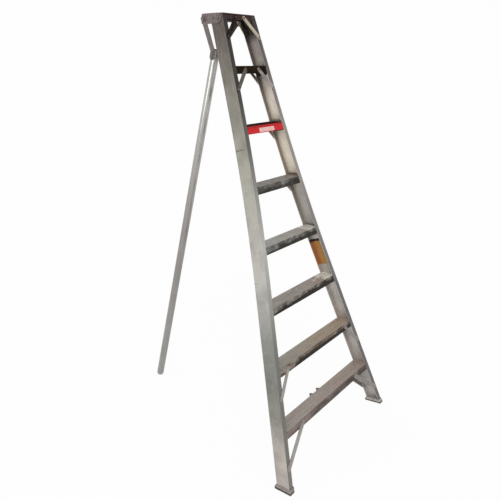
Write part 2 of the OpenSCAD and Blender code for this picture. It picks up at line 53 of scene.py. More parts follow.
def linear(red: int, green: int, blue: int) -> Rgb:
    """Turns a screen colour into the linear colour that a shader takes.

    Args:
        red: Red on a scale to 255.
        green: Green on a scale to 255.
        blue: Blue on a scale to 255.

    Returns:
        The three linear values from 0 to 1.
    """
    def one(value: int) -> float:
        """Turns one channel into its linear value."""
        v = value / 255.0
        return v / 12.92 if v <= 0.04045 else ((v + 0.055) / 1.055) ** 2.4

    return one(red), one(green), one(blue)


class Side(Enum):
    """The two sides of the ladder, with the sign of X on each."""

    LEFT = -1
    RIGHT = 1


class Grain(Enum):
    """The way a metal was drawn, rolled or rubbed."""

    RAIL = "along the rails"
    WIDTH = "across the ladder"
    POLE = "along the pole"
    NONE = "no direction"


# Waves of a metal's streaks per metre along x, y and z, before their common scale
STREAK_WAVES: dict[Grain, Point] = {
    Grain.RAIL: (55.0, 55.0, 1.6),
    Grain.WIDTH: (1.6, 60.0, 60.0),
    Grain.POLE: (55.0, 55.0, 1.6),
    Grain.NONE: (25.0, 25.0, 25.0),
}
# How much finer scratches are than streaks
SCRATCH_FINENESS = 4.0
# Rounding of sharp edges in the light, and strength and depth of the fine relief on metal
EDGE_RADIUS = 0.0012
RELIEF_STRENGTH = 0.22
RELIEF_DEPTH = 0.0006


@dataclass(frozen=True)
class LadderPlan:
    """Main sizes of the ladder, as the solids have them.

    Attributes:
        lean: Lean of the rails from the vertical, in radians.
        pole_angle: Angle of the open pole from the vertical, in radians.
        mid_y: Distance of the model's origin behind the rails' foot line.
        half_depth: Half of the rail channel's depth.
        flange_zone: Distances from the middle plane between which web turns to flange.
        foot_half: Half width over the rails at the floor.
        flare: Flare of the lower rail run, in radians.
        top_flare: Flare of the upper rail run, in radians.
        bend_start: Start of the bend, along the rails.
        bend_radius: Radius of the bend at the rail's outer face.
        first_step: Lowest tread, along the rails.
        pitch: Distance between treads, along the rails.
        rail_wall: Wall of the rail channel.
        rail_flange: Width of the rail channel's flanges.
    """

    lean: float = math.radians(16.56)
    pole_angle: float = math.radians(15.45)
    mid_y: float = 0.6770035
    half_depth: float = 0.0381
    flange_zone: tuple[float, float] = (0.025, 0.034)
    foot_half: float = 0.542
    flare: float = math.radians(12.43)
    top_flare: float = math.radians(5.1)
    bend_start: float = 0.962
    bend_radius: float = 8.0
    first_step: float = 0.2978
    pitch: float = 0.3048
    rail_wall: float = 0.003
    rail_flange: float = 0.03175

    def at(self, x: float, behind: float, along: float) -> Vector:
        """Gives a point of the leaning ladder in the model's frame.

        Args:
            x: Distance to the right of the middle.
            behind: Distance behind the rails' middle plane.
            along: Distance along the rails from the floor.

        Returns:
            The point in the model's frame.
        """
        y = along * math.sin(self.lean) + behind * math.cos(self.lean) - self.mid_y
        z = along * math.cos(self.lean) - behind * math.sin(self.lean)
        return Vector((x, y, z))

    def half_width(self, along: float) -> float:
        """Gives half the width over the rails.

        Args:
            along: Distance along the rails from the floor.

        Returns:
            Distance of the rail's outer face from the middle.
        """
        sine = math.sin(self.flare)
        bend_end = self.bend_start + self.bend_radius * (sine - math.sin(self.top_flare))
        if along <= self.bend_start:
            return self.foot_half - along * math.tan(self.flare)
        low = self.foot_half - self.bend_start * math.tan(self.flare)
        angle = math.asin(sine - (min(along, bend_end) - self.bend_start) / self.bend_radius)
        width = low + self.bend_radius * (math.cos(self.flare) - math.cos(angle))
        return width - max(0.0, along - bend_end) * math.tan(self.top_flare)

    def step(self, number: int) -> float:
        """Gives the distance of a tread along the rails, counted from 1."""
        return self.first_step + (number - 1) * self.pitch


PLAN = LadderPlan()


class NodeBench:
    """Lays out the nodes of a material or of the world."""

    def __init__(self, tree: bpy.types.NodeTree) -> None:
        """Takes the node tree to work on."""
        self.tree = tree

    def link(self, source: Socket, target: Socket) -> None:
        """Joins an output to an input."""
        self.tree.links.new(source, target)

    def node(self, kind: str, **settings: object) -> bpy.types.Node:
        """Adds a node and sets its properties.

        Args:
            kind: Blender's name of the node type.
            settings: Properties of the node to set.

        Returns:
            The new node.
        """
        made = self.tree.nodes.new(kind)
        for key, value in settings.items():
            setattr(made, key, value)
        return made

    def place(self, grain: Grain = Grain.NONE) -> Socket:
        """Gives the piece's own coordinates, turned with the rails or the pole.

        On the leaning ladder x runs across it, y behind the rails' middle plane and
        z along the rails from the floor.

        Args:
            grain: Direction of the metal's grain.

        Returns:
            Socket with the turned coordinates.
        """
        turn = {Grain.RAIL: PLAN.lean, Grain.WIDTH: PLAN.lean, Grain.POLE: -PLAN.pole_angle}.get(grain, 0.0)
        coords = self.node("ShaderNodeTexCoord")
        mapping = self.node("ShaderNodeMapping")
        mapping.inputs["Rotation"].default_value = (turn, 0.0, 0.0)
        if grain in (Grain.RAIL, Grain.WIDTH):
            shift = (0.0, PLAN.mid_y * math.cos(turn), PLAN.mid_y * math.sin(turn))
            mapping.inputs["Location"].default_value = shift
        self.link(coords.outputs["Object"], mapping.inputs["Vector"])
        return mapping.outputs["Vector"]

    def stretch(self, vector: Socket, scale: Point) -> Socket:
        """Scales coordinates by three factors.

        Args:
            vector: Socket with coordinates.
            scale: Factors along x, y and z.

        Returns:
            Socket with the scaled coordinates.
        """
        times = self.node("ShaderNodeVectorMath", operation="MULTIPLY")
        self.link(vector, times.inputs[0])
        times.inputs[1].default_value = scale
        return times.outputs["Vector"]

    def noise(self, vector: Socket, scale: float, detail: float = 4.0,
              rough: float = 0.55) -> Socket:
        """Adds a noise texture.

        Args:
            vector: Socket with coordinates.
            scale: Waves per metre.
            detail: Octaves of the noise.
            rough: Share that each finer octave keeps.

        Returns:
            Socket with the noise from 0 to 1.
        """
        made = self.node("ShaderNodeTexNoise")
        made.inputs["Scale"].default_value = scale
        made.inputs["Detail"].default_value = detail
        made.inputs["Roughness"].default_value = rough
        self.link(vector, made.inputs["Vector"])
        return made.outputs["Fac"]

    def span(self, value: Socket, low: float, high: float, to_low: float = 0.0,
             to_high: float = 1.0) -> Socket:
        """Maps a span of values on another one and clamps it.

        Args:
            value: Socket with the value.
            low: Start of the span.
            high: End of the span.
            to_low: Result at the start.
            to_high: Result at the end.

        Returns:
            Socket with the result.
        """
        made = self.node("ShaderNodeMapRange", clamp=True)
        self.link(value, made.inputs["Value"])
        for name, number in (("From Min", low), ("From Max", high), ("To Min", to_low), ("To Max", to_high)):
            made.inputs[name].default_value = number
        return made.outputs["Result"]

    def combine(self, operation: str, first: Socket, second: Socket) -> Socket:
        """Combines two values.

        Args:
            operation: Blender's name of the operation.
            first: Socket with the first value.
            second: Socket with the second value.

        Returns:
            Socket with the result.
        """
        made = self.node("ShaderNodeMath", operation=operation)
        self.link(first, made.inputs[0])
        self.link(second, made.inputs[1])
        return made.outputs["Value"]

    def times(self, first: Socket, second: Socket) -> Socket:
        """Multiplies two values."""
        return self.combine("MULTIPLY", first, second)

    def plus(self, first: Socket, second: Socket) -> Socket:
        """Adds two values."""
        return self.combine("ADD", first, second)

    def axis(self, vector: Socket, name: str) -> Socket:
        """Takes one axis of a vector.

        Args:
            vector: Socket with the vector.
            name: X, Y or Z.

        Returns:
            Socket with the value on that axis.
        """
        made = self.node("ShaderNodeSeparateXYZ")
        self.link(vector, made.inputs["Vector"])
        return made.outputs[name]

    def ramp(self, value: Socket, stops: Sequence[tuple[float, Rgb]]) -> Socket:
        """Turns a value into a colour.

        Args:
            value: Socket with a value from 0 to 1.
            stops: Places on the ramp with their linear colours.

        Returns:
            Socket with the colour.
        """
        made = self.node("ShaderNodeValToRGB")
        marks = made.color_ramp.elements
        while len(marks) < len(stops):
            marks.new(0.5)
        for mark, (place, colour) in zip(marks, stops):
            mark.position = place
            mark.color = (*colour, 1.0)
        self.link(value, made.inputs["Fac"])
        return made.outputs["Color"]

    def blend(self, factor: Socket, below: Socket, above: Socket | Rgb) -> Socket:
        """Lays one colour over another.

        Args:
            factor: Socket with the share of the upper colour.
            below: Socket with the lower colour.
            above: Upper colour, a socket or a linear colour.

        Returns:
            Socket with the mixed colour.
        """
        made = self.node("ShaderNodeMix", data_type="RGBA")
        self.link(factor, made.inputs["Factor"])
        self.link(below, made.inputs["A"])
        if isinstance(above, tuple):
            made.inputs["B"].default_value = (*above, 1.0)
        else:
            self.link(above, made.inputs["B"])
        return made.outputs["Result"]

    def facing(self, name: str) -> Socket:
        """Takes one axis of the face's normal, named X, Y or Z."""
        geometry = self.node("ShaderNodeNewGeometry")
        return self.axis(geometry.outputs["Normal"], name)

    def round_normal(self, radius: float) -> Socket:
        """Gives normals that look rounded at the edges.

        Args:
            radius: Radius of the rounding in metres.

        Returns:
            Socket with the normals.
        """
        made = self.node("ShaderNodeBevel", samples=4)
        made.inputs["Radius"].default_value = radius
        return made.outputs["Normal"]

    def edges(self, normal: Socket) -> Socket:
        """Marks the edges, where rounded normals leave the true ones.

        Args:
            normal: Socket with rounded normals.

        Returns:
            Socket with 1 on an edge and 0 on flat faces.
        """
        geometry = self.node("ShaderNodeNewGeometry")
        dot = self.node("ShaderNodeVectorMath", operation="DOT_PRODUCT")
        self.link(normal, dot.inputs[0])
        self.link(geometry.outputs["True Normal"], dot.inputs[1])
        return self.span(dot.outputs["Value"], 0.995, 0.9)

    def bump(self, height: Socket, strength: float, depth: float,
             normal: Optional[Socket] = None) -> Socket:
        """Turns heights into normals.

        Args:
            height: Socket with the height.
            strength: Strength of the effect.
            depth: Height of a full step in metres.
            normal: Normals to start from.

        Returns:
            Socket with the bumped normals.
        """
        made = self.node("ShaderNodeBump")
        made.inputs["Strength"].default_value = strength
        made.inputs["Distance"].default_value = depth
        self.link(height, made.inputs["Height"])
        if normal is not None:
            self.link(normal, made.inputs["Normal"])
        return made.outputs["Normal"]


class MaterialBench(NodeBench):
    """Lays out the nodes of one new material round its principled shader."""

    def __init__(self, name: str) -> None:
        """Starts a material with only its output and shader.

        Args:
            name: Name of the material.
        """
        self.material = bpy.data.materials.new(name)
        self.material.use_nodes = True
        super().__init__(self.material.node_tree)
        self.tree.nodes.clear()
        self.output = self.node("ShaderNodeOutputMaterial")
        self.shader = self.node("ShaderNodeBsdfPrincipled")
        self.link(self.shader.outputs["BSDF"], self.output.inputs["Surface"])

    def feed(self, name: str, source: Socket | float) -> None:
        """Gives the shader one of its inputs.

        Args:
            name: Name of the input.
            source: Socket to link to it, or the value that it has all over.
        """
        if isinstance(source, float):
            self.shader.inputs[name].default_value = source
        else:
            self.link(source, self.shader.inputs[name])


def mixed(first: Rgb, second: Rgb, share: float) -> Rgb:
    """Mixes two colours.

    Args:
        first: The first colour.
        second: The second colour.
        share: Share of the second one from 0 to 1.

    Returns:
        The mixed colour.
    """
    return tuple(a + (b - a) * share for a, b in zip(first, second))


@dataclass(frozen=True)
class MetalFinish:
    """A worn metal surface.

    Attributes:
        name: Name of the finish.
        tone: Main colour.
        dull: Colour of oxide and muck.
        rubbed: Colour of rubbed edges and scratches.
        metallic: Share of metal reflection.
        rough: Roughness of rubbed and of dull places.
        grain: Direction of the grain.
        stain: Share of the dull colour in stains.
        wear: Share of the rubbed colour on edges and scratches.
        streak: Strength of the streaks along the grain.
        run: Places along the grain with the main colour there; on the right rail it also carries painted
            light and painted shade, on the pole a painted highlight.
        right: Main colour of the pieces to the right of the middle, where it differs; the two sides are lit
            and shaded copies of one metal, painted light and painted shade.
        seam: Half of the width over which that colour takes over.
        front: Places along the grain with the colour of the front flange, a painted shade.
        rear: Places along the grain with the colour of the rear flange's inner face, a painted shade.
        marks: Share of the dull colour in short marks across the grain.
        nick: Place along the grain of one dark scratch across it, if any.
        nick_half: Half of that scratch's width.
        nick_end: Distances behind the middle plane between which it fades in.
        tread_shade: Numbers of the treads with painted shade above them, where the tread meets the face
            towards the left.
        tread_shade_edge: Heights above the tread between which that painted shade ends.
        tread_shade_below: Height below the tread's top at which it begins.
        tread_shade_colour: Colour of that painted shade.
        gloss: Level of the reflection of its bare surface.
    """

    name: str
    tone: Rgb
    dull: Rgb
    rubbed: Rgb
    metallic: float = 0.45
    rough: tuple[float, float] = (0.36, 0.58)
    grain: Grain = Grain.RAIL
    stain: float = 0.5
    wear: float = 0.4
    streak: float = 0.5
    run: Run = ()
    right: Optional[Rgb] = None
    seam: float = 0.01
    front: Run = ()
    rear: Run = ()
    marks: float = 0.0
    nick: Optional[float] = None
    nick_half: float = 0.0045
    nick_end: tuple[float, float] = (-0.02, -0.008)
    tread_shade: tuple[int, ...] = ()
    tread_shade_edge: tuple[float, float] = (0.017, 0.006)
    tread_shade_below: float = 0.004
    tread_shade_colour: Rgb = linear(50, 42, 36)
    gloss: float = 0.3

    def make(self) -> bpy.types.Material:
        """Builds the material of this finish.

        Returns:
            The new material.
        """
        bench = MaterialBench(self.name)
        place = bench.place(self.grain)
        waves = STREAK_WAVES[self.grain]
        lines = bench.noise(bench.stretch(place, waves), 3.0, 6.0, 0.6)
        patches = bench.noise(place, 7.0, 6.0, 0.6)
        specks = bench.noise(place, 160.0, 3.0, 0.6)
        colour = self.body(bench, place, lines)
        colour = bench.blend(bench.span(patches, 0.46, 0.72, 0.0, self.stain), colour, self.dull)
        colour = bench.blend(bench.span(specks, 0.62, 0.75, 0.0, 0.5 * self.stain), colour, self.dull)
        colour = self.flanges(bench, place, patches, colour)
        colour = self.scars(bench, place, colour)
        colour = self.shade_above_treads(bench, patches, colour)
        fine = tuple(SCRATCH_FINENESS * wave for wave in waves)
        hair = bench.noise(bench.stretch(place, fine), 3.0, 2.0, 0.5)
        scratch = bench.times(bench.span(hair, 0.66, 0.72), bench.span(patches, 0.42, 0.62, 1.0, 0.0))
        colour = bench.blend(bench.span(scratch, 0.0, 1.0, 0.0, self.wear * 0.6), colour, self.rubbed)
        soft = bench.round_normal(EDGE_RADIUS)
        edge = bench.times(bench.edges(soft), bench.span(specks, 0.3, 0.6, 0.35, 1.0))
        colour = bench.blend(bench.span(edge, 0.0, 1.0, 0.0, self.wear), colour, self.rubbed)
        bench.feed("Base Color", colour)
        bench.feed("Roughness", bench.span(patches, 0.3, 0.7, *self.rough))
        bench.feed("Metallic", self.metallic)
        bench.feed("Specular IOR Level", self.gloss)
        relief = bench.blend(bench.span(patches, 0.0, 1.0, 0.35, 0.65), lines, specks)
        bench.feed("Normal", bench.bump(relief, RELIEF_STRENGTH, RELIEF_DEPTH, soft))
        return bench.material

    def flanges(self, bench: NodeBench, place: Socket, patches: Socket, colour: Socket) -> Socket:
        """Lays painted shade on the faces that look forward, the front flange and the rear flange's inner
        face, over the main colour.

        Args:
            bench: Bench of the material.
            place: Socket with the turned coordinates.
            patches: Socket with the noise of the stains.
            colour: Socket with the colour below.

        Returns:
            Socket with the colour.
        """
        web, flange = PLAN.flange_zone
        # Painted shade on the flange faces that look forward, darker than the web.
        for side, run in ((-1.0, self.front), (1.0, self.rear)):
            if run:
                facing = bench.times(bench.span(bench.facing("Y"), -0.4, -0.9),
                                     bench.span(bench.axis(place, "Y"), side * web, side * flange))
                broken = bench.span(patches, 0.3, 0.75, 1.0, 0.7)
                colour = bench.blend(bench.times(facing, broken), colour, self.along(bench, place, run))
        return colour

    def scars(self, bench: NodeBench, place: Socket, colour: Socket) -> Socket:
        """Lays short marks and the one dark scratch over the colour.

        Args:
            bench: Bench of the material.
            place: Socket with the turned coordinates.
            colour: Socket with the colour below.

        Returns:
            Socket with the colour.
        """
        if self.marks:
            dents = bench.noise(bench.stretch(place, (7.0, 7.0, 75.0)), 2.0, 2.0, 0.5)
            colour = bench.blend(bench.span(dents, 0.72, 0.78, 0.0, self.marks), colour, self.dull)
        if self.nick is not None:
            along = bench.axis(place, "Z")
            line = bench.times(bench.span(along, self.nick - self.nick_half, self.nick),
                               bench.span(along, self.nick, self.nick + self.nick_half, 1.0, 0.0))
            short = bench.span(bench.axis(place, "Y"), *self.nick_end, 0.0, 0.9)
            colour = bench.blend(bench.times(line, short), colour, self.dull)
        return colour

    def shade_above_treads(self, bench: NodeBench, patches: Socket, colour: Socket) -> Socket:
        """Lays painted shade above the treads, where they meet the web, over the colour.

        Args:
            bench: Bench of the material.
            patches: Socket with the noise of the stains.
            colour: Socket with the colour below.

        Returns:
            Socket with the colour.
        """
        for number in self.tread_shade:
            level = bench.axis(bench.place(), "Z")
            top = PLAN.at(0.0, 0.0, PLAN.step(number)).z
            high, low = (top + rise for rise in self.tread_shade_edge)
            # Painted shade in the corner just above each tread's top, on faces that look to the left.
            corner_shade = bench.times(bench.span(level, high, low), bench.span(patches, 0.3, 0.6, 1.0, 0.6))
            corner_shade = bench.times(corner_shade, bench.span(level, top - self.tread_shade_below, top))
            inside = bench.span(bench.facing("X"), -0.5, -0.9)
            colour = bench.blend(bench.times(corner_shade, inside), colour, self.tread_shade_colour)
        return colour

    def body(self, bench: NodeBench, place: Socket, lines: Socket) -> Socket:
        """Lays the main colour with its streaks.

        Args:
            bench: Bench of the material.
            place: Socket with the turned coordinates.
            lines: Socket with the noise along the grain.

        Returns:
            Socket with the colour.
        """
        if not self.run:
            colour = bench.ramp(lines, self.streaks(self.tone))
            if self.right is None:
                return colour
            # The right-hand pieces take their own tone: lit and shaded copies of one metal, painted light
            # and painted shade.
            share = bench.span(bench.axis(place, "X"), -self.seam, self.seam)
            return bench.blend(share, colour, bench.ramp(lines, self.streaks(self.right)))
        colour = self.along(bench, place, self.run)
        colour = bench.blend(bench.span(lines, 0.48, 0.25, 0.0, 0.5 * self.streak), colour, self.dull)
        return bench.blend(bench.span(lines, 0.52, 0.78, 0.0, 0.6 * self.streak), colour, self.rubbed)

    def along(self, bench: NodeBench, place: Socket, run: Run) -> Socket:
        """Lays colours at places along the grain.

        Args:
            bench: Bench of the material.
            place: Socket with the turned coordinates.
            run: Places along the grain, in metres, with their colours.

        Returns:
            Socket with the colour.
        """
        low, high = run[0][0], run[-1][0]
        share = bench.span(bench.axis(place, "Z"), low, high)
        return bench.ramp(share, [((z - low) / (high - low), tone) for z, tone in run])

    def streaks(self, tone: Rgb) -> Run:
        """Gives the stops of a ramp from dull to rubbed round a colour."""
        return ((0.25, mixed(tone, self.dull, 0.5 * self.streak)), (0.5, tone),
                (0.78, mixed(tone, self.rubbed, 0.6 * self.streak)))


@dataclass(frozen=True)
class TreadFinish:
    """A trodden tread: rubbed on top, sooty in front with painted shade, which deepens to the right.

    Attributes:
        number: Number of the tread, from 1 at the floor.
        top: Colour of the top at its left end.
        front: Colour of the front at its left end.
        soot: Share of the dark colour along the lower half of the front.
        glint: Share of the pale painted highlight on the top at the right end.
        glint_edge: Distances from that end between which the highlight begins.
        soot_edge: Depths below the tread's middle between which the soot thins out.
        end: Colour that the top takes on towards its right end.
        front_shade: Colour that the front takes on towards its right end, a painted shade.
        rubbed: Colour of rubbed ribs and edges.
        metal: Share of metal reflection.
        gloss: Specular level of the surface.
        dark: Colour of soot and specks.
        pale: Colour of the painted highlight.
    """

    number: int
    top: Rgb
    front: Rgb
    soot: float = 0.6
    glint: float = 0.0
    glint_edge: tuple[float, float] = (0.11, 0.04)
    soot_edge: tuple[float, float] = (0.05, 0.016)
    end: Rgb = linear(176, 150, 128)
    front_shade: Rgb = linear(40, 26, 18)
    rubbed: Rgb = linear(196, 190, 180)
    metal: float = 0.25
    gloss: float = 0.12
    dark: Rgb = linear(34, 29, 24)
    pale: Rgb = linear(240, 236, 224)

    @property
    def name(self) -> str:
        """Names the finish after its tread."""
        return f"worn_tread_{self.number}"

    def make(self) -> bpy.types.Material:
        """Builds the material of this finish.

        Returns:
            The new material.
        """
        bench = MaterialBench(self.name)
        place = bench.place(Grain.WIDTH)
        middle = PLAN.step(self.number)
        half = PLAN.half_width(middle) - PLAN.rail_flange
        across = bench.axis(place, "X")
        lines = bench.noise(bench.stretch(place, (1.6, 70.0, 70.0)), 3.0, 6.0, 0.6)
        patches = bench.noise(place, 9.0, 6.0, 0.62)
        blots = bench.noise(place, 17.0, 5.0, 0.62)
        specks = bench.noise(place, 170.0, 3.0, 0.6)
        worn = bench.noise(bench.stretch(place, (9.0, 34.0, 34.0)), 1.0, 5.0, 0.6)
        broken = bench.span(worn, 0.35, 0.65, -0.45, 0.45)
        share = bench.span(bench.plus(bench.span(across, -half, half, -0.1, 1.1), broken), 0.0, 1.0)
        top = bench.blend(share, bench.ramp(lines, self.streaks(self.top)),
                          bench.ramp(lines, self.streaks(mixed(self.top, self.end, 0.4))))
        # Painted highlight on the top near the right end.
        if self.glint:
            glint_mask = bench.span(across, *(half - reach for reach in self.glint_edge))
            glint_mask = bench.span(bench.plus(glint_mask, broken), 0.3, 0.6, 0.0, self.glint)
            top = bench.blend(glint_mask, top, self.pale)
        # The front darkens towards the right end: painted shade.
        front = bench.blend(share, bench.ramp(blots, self.blotches(self.front)),
                            bench.ramp(blots, self.blotches(mixed(self.front, self.front_shade, 0.6))))
        # Soot along the lower half of the front, thicker towards the right end, where it adds to the painted
        # shade.
        depth = bench.span(bench.axis(place, "Z"), *(middle - drop for drop in self.soot_edge), 1.1, 0.0)
        thick = bench.times(depth, bench.span(across, -half, half, 0.5, 1.6))
        low = bench.span(bench.plus(thick, bench.span(worn, 0.3, 0.7, -0.3, 0.3)), 0.3, 0.62, 0.0, self.soot)
        front = bench.blend(low, front, self.dark)
        # Tops take the top colour, other faces the front colour; the darker front is soot in part and
        # painted shade in part.
        colour = bench.blend(bench.span(bench.facing("Z"), 0.55, 0.85), front, top)
        colour = bench.blend(bench.span(specks, 0.6, 0.74, 0.0, 0.35), colour, self.dark)
        soft = bench.round_normal(EDGE_RADIUS)
        edge = bench.times(bench.edges(soft), bench.span(specks, 0.3, 0.6, 0.2, 0.5))
        colour = bench.blend(edge, colour, self.rubbed)
        bench.feed("Base Color", colour)
        bench.feed("Roughness", bench.span(patches, 0.3, 0.7, 0.42, 0.62))
        bench.feed("Metallic", self.metal)
        bench.feed("Specular IOR Level", self.gloss)
        relief = bench.blend(bench.span(patches, 0.0, 1.0, 0.35, 0.65), lines, specks)
        bench.feed("Normal", bench.bump(relief, RELIEF_STRENGTH, RELIEF_DEPTH, soft))
        return bench.material

    def streaks(self, tone: Rgb) -> Run:
        """Gives the stops of a ramp from dirty to rubbed round a colour."""
        return (0.25, mixed(tone, self.dark, 0.4)), (0.5, tone), (0.8, mixed(tone, self.rubbed, 0.4))

    def blotches(self, tone: Rgb) -> Run:
        """Gives the stops of a ramp with the stronger marks of the front."""
        return ((0.36, mixed(tone, self.dark, 0.6 * self.soot)), (0.5, tone),
                (0.64, mixed(tone, self.rubbed, 0.4 * self.soot)))


@dataclass(frozen=True)
class RubberFinish:
    """Dark rubber with dust in its pores.

    Attributes:
        name: Name of the finish.
        tone: Main colour.
        dust: Colour of the dust.
        edge_radius: Rounding of its edges in the light.
        pore_depth: Depth of its pores.
    """

    name: str
    tone: Rgb
    dust: Rgb
    edge_radius: float = 0.0015
    pore_depth: float = 0.0005

    def make(self) -> bpy.types.Material:
        """Builds the material of this finish.

        Returns:
            The new material.
        """
        bench = MaterialBench(self.name)
        place = bench.place()
        pores = bench.noise(place, 420.0, 3.0, 0.6)
        scuffs = bench.noise(place, 30.0, 5.0, 0.65)
        colour = bench.ramp(scuffs, ((0.35, self.tone), (0.75, self.dust)))
        soft = bench.round_normal(self.edge_radius)
        colour = bench.blend(bench.span(bench.edges(soft), 0.0, 1.0, 0.0, 0.5), colour, self.dust)
        bench.feed("Base Color", colour)
        bench.feed("Roughness", bench.span(scuffs, 0.3, 0.7, 0.62, 0.85))
        bench.feed("Normal", bench.bump(pores, 0.35, self.pore_depth, soft))
        return bench.material


@dataclass(frozen=True)
class PaintFinish:
    """A coloured film that has faded and scuffed.

    Attributes:
        name: Name of the finish.
        tone: Main colour.
        faded: Colour of the faded places.
        far: Colour at the rear edge, where the film changes its hue.
        far_edge: Distance behind the rails' middle plane at which that colour is full.
        gloss: Specular level of the film.
        ripple: Depth of its ripples.
    """

    name: str
    tone: Rgb
    faded: Rgb
    far: Optional[Rgb] = None
    far_edge: float = 0.03
    gloss: float = 0.15
    ripple: float = 0.0004

    def make(self) -> bpy.types.Material:
        """Builds the material of this finish.

        Returns:
            The new material.
        """
        bench = MaterialBench(self.name)
        place = bench.place(Grain.RAIL)
        clouds = bench.noise(place, 26.0, 5.0, 0.6)
        scuffs = bench.noise(bench.stretch(place, (30.0, 200.0, 200.0)), 1.0, 3.0, 0.6)
        colour = bench.ramp(clouds, ((0.3, self.tone), (0.8, self.faded)))
        if self.far is not None:
            across = bench.span(bench.axis(place, "Y"), 0.0, self.far_edge)
            colour = bench.blend(across, colour, self.far)
        colour = bench.blend(bench.span(scuffs, 0.66, 0.76, 0.0, 0.5), colour, self.faded)
        bench.feed("Base Color", colour)
        bench.feed("Roughness", bench.span(clouds, 0.3, 0.7, 0.38, 0.58))
        bench.feed("Specular IOR Level", self.gloss)
        bench.feed("Normal", bench.bump(clouds, 0.15, self.ripple))
        return bench.material


Finish = MetalFinish | TreadFinish | RubberFinish | PaintFinish


class Finishes:
    """All finishes of the ladder, each made once."""

    RAILS = {
        Side.LEFT: MetalFinish(
            "mill_rail_left", linear(168, 165, 157), linear(78, 74, 70), linear(206, 202, 194),
            marks=0.6, wear=0.25, stain=0.4, streak=0.4, nick=1.706,
            run=((0.1, linear(186, 178, 171)), (0.48, linear(122, 123, 116)), (0.74, linear(132, 132, 127)),
                 (1.02, linear(178, 176, 170)), (1.65, linear(160, 158, 147)), (2.3, linear(96, 88, 82))),
            # The front run is painted shade on the front flange, falling to near black under the cap.
            front=((0.2, linear(108, 104, 99)), (0.7, linear(114, 115, 110)), (1.2, linear(184, 184, 178)),
                   (1.7, linear(90, 87, 84)), (2.05, linear(20, 14, 11)))),
        # Right rail: the run's light stretch from 1.4 to 1.85 is painted light on the inner web, and its
        # fall to near black at 2.3 is painted shade under the cap; the front and rear runs are painted shade
        # on the flanges, and treads 4 to 6 have painted shade in the corner above them.
        Side.RIGHT: MetalFinish(
            "mill_rail_right", linear(168, 164, 156), linear(78, 74, 70), linear(222, 218, 210),
            marks=0.4, wear=0.25, stain=0.3, streak=0.25, tread_shade=(4, 5, 6),
            run=((0.9, linear(191, 185, 180)), (1.4, linear(170, 164, 159)), (1.57, linear(228, 218, 199)),
                 (1.85, linear(240, 230, 214)), (2.25, linear(160, 151, 146)), (2.3, linear(52, 46, 40))),
            front=((0.3, linear(72, 70, 68)), (0.8, linear(80, 79, 77)), (1.5, linear(138, 134, 130)),
                   (2.3, linear(56, 48, 44))),
            rear=((0.9, linear(182, 176, 170)), (1.5, linear(132, 126, 114)), (2.2, linear(92, 84, 78)))),
    }
    # Each front is darker than its top and darker still towards the right end: soot in part, painted shade
    # in part.
    TREADS = (
        TreadFinish(1, linear(176, 166, 160), linear(128, 115, 109), 0.3),
        TreadFinish(2, linear(164, 160, 150), linear(122, 106, 94), 0.95, end=linear(206, 160, 112)),
        # Treads 3 and 4 carry the painted highlight near the right end.
        TreadFinish(3, linear(166, 160, 154), linear(96, 91, 86), 0.95, 1.0),
        TreadFinish(4, linear(184, 184, 179), linear(108, 109, 104), 0.9, 1.0),
        TreadFinish(5, linear(154, 150, 147), linear(84, 83, 78), 0.8),
        TreadFinish(6, linear(60, 10, 13), linear(90, 70, 66), 0.4, end=linear(16, 2, 3),
                    rubbed=linear(74, 18, 20), metal=0.0, gloss=0.0),
        TreadFinish(7, linear(36, 31, 24), linear(36, 29, 21), 0.8, end=linear(10, 8, 6),
                    rubbed=linear(64, 55, 44), metal=0.0, gloss=0.0),
    )
    # The cap's front run is painted shade on its front face.
    CAP = MetalFinish("oxidised_cap", linear(96, 82, 78), linear(36, 23, 22), linear(132, 118, 110),
                      grain=Grain.WIDTH, stain=0.6, wear=0.1, gloss=0.03, metallic=0.05,
                      front=((2.3, linear(54, 35, 33)), (2.5, linear(62, 43, 40))))
    PLATE = MetalFinish("oxidised_plate", linear(116, 105, 103), linear(60, 52, 50), linear(172, 164, 158),
                        grain=Grain.NONE, stain=0.5, wear=0.6)
    # The right strap's dark tone is painted shade.
    YOKE = MetalFinish("yoke_bar", linear(116, 108, 105), linear(72, 60, 56), linear(180, 174, 168),
                       grain=Grain.NONE, stain=0.6, right=linear(40, 31, 28), wear=0.7)
    # The right braces' darker tone is painted shade.
    BRACE = MetalFinish("flat_bar", linear(158, 153, 147), linear(74, 68, 64), linear(204, 198, 190),
                        grain=Grain.NONE, stain=0.4, right=linear(140, 132, 127), wear=0.25)
    # The right braces' lighter tone here is painted light.
    MID_BRACE = replace(BRACE, name="mid_bar", right=linear(190, 182, 174))
    # The left bars' dark tone is painted shade and the right bars' light tone painted light.
    TOP_BRACE = MetalFinish("top_bar", linear(92, 84, 78), linear(44, 36, 32), linear(190, 182, 172),
                            grain=Grain.NONE, stain=0.5, right=linear(164, 154, 150), gloss=0.2, wear=0.2)
    # The left bars' near-black tone is painted shade and the right bars' pale tone a painted highlight.
    CAP_BRACE = MetalFinish("cap_bar", linear(26, 15, 12), linear(14, 9, 8), linear(150, 138, 126),
                            grain=Grain.NONE, stain=0.5, right=linear(196, 186, 166), gloss=0.05, wear=0.1,
                            metallic=0.05)
    # The right boot's lighter tone is painted light.
    BOOT = MetalFinish("scuffed_boot", linear(146, 138, 133), linear(78, 72, 69), linear(186, 179, 172),
                       grain=Grain.NONE, stain=0.6, right=linear(168, 162, 158), wear=0.08)
    RIVET = MetalFinish("rivet_head", linear(138, 132, 126), linear(86, 82, 78), linear(176, 170, 163),
                        stain=0.4, wear=0.2, run=((1.9, linear(138, 132, 126)), (2.15, linear(62, 53, 49))))
    STEEL = MetalFinish("dull_zinc", linear(122, 115, 112), linear(66, 58, 54), linear(176, 171, 166),
                        grain=Grain.NONE, stain=0.5, metallic=0.75)
